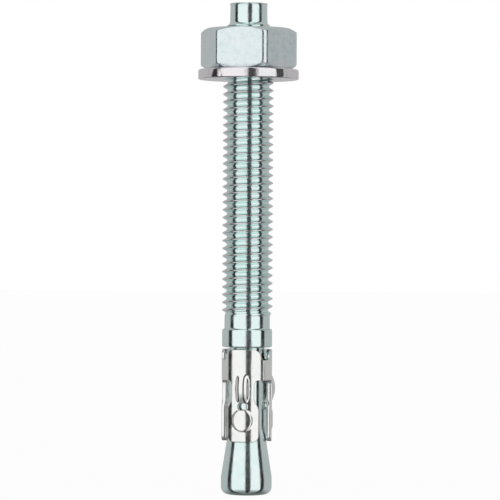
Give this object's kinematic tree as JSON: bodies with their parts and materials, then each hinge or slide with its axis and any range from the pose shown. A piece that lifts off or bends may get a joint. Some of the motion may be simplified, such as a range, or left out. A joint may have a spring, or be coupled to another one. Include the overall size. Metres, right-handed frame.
{
  "type": "wedge anchor",
  "caption": "Through-bolt wedge anchor: threaded rod with a cone end, an expansion sleeve round its neck, a flat washer and a hexagon nut.",
  "frame": {"origin": "middle of the foot, where the anchor stands on its cone end", "axes": "+Z along the rod, from the cone end to the hammer stub; the leaf of the sleeve that faces the viewer is on the -Y side"},
  "size_m": [0.0196, 0.0196, 0.0956],
  "materials": {
    "plated_rod": "bright zinc plating with a faint blue-green passivation",
    "plated_sheet": "bright zinc plated sheet steel",
    "plated_washer": "bright zinc plated, tumbled edges",
    "plated_nut": "bright zinc plated, fine grain"
  },
  "bodies": {
    "rod": {"anchor_bolt": "plated_rod"},
    "sleeve": {"expansion_sleeve": "plated_sheet"},
    "washer_ring": {"washer": "plated_washer"},
    "nut": {"hex_nut": "plated_nut"}
  },
  "joints": [
    {"name": "sleeve_spin", "type": "hinge", "parent": "rod", "child": "sleeve", "pos_m": [0, 0, 0.0193], "axis": [0, 0, 1], "continuous": true},
    {"name": "washer_travel", "type": "slide", "parent": "rod", "child": "washer_ring", "axis": [0, 0, 1], "range_m": [-0.0466, 0.0081]},
    {"name": "nut_turn", "type": "hinge", "parent": "washer_ring", "child": "nut", "pos_m": [0, 0, 0.0867], "axis": [0, 0, 1], "range_deg": [-11160, 1920]}
  ],
  "couplings": [
    {"joint": "washer_travel", "follows": "nut_turn", "m_per_rad": 0.00023873}
  ]
}
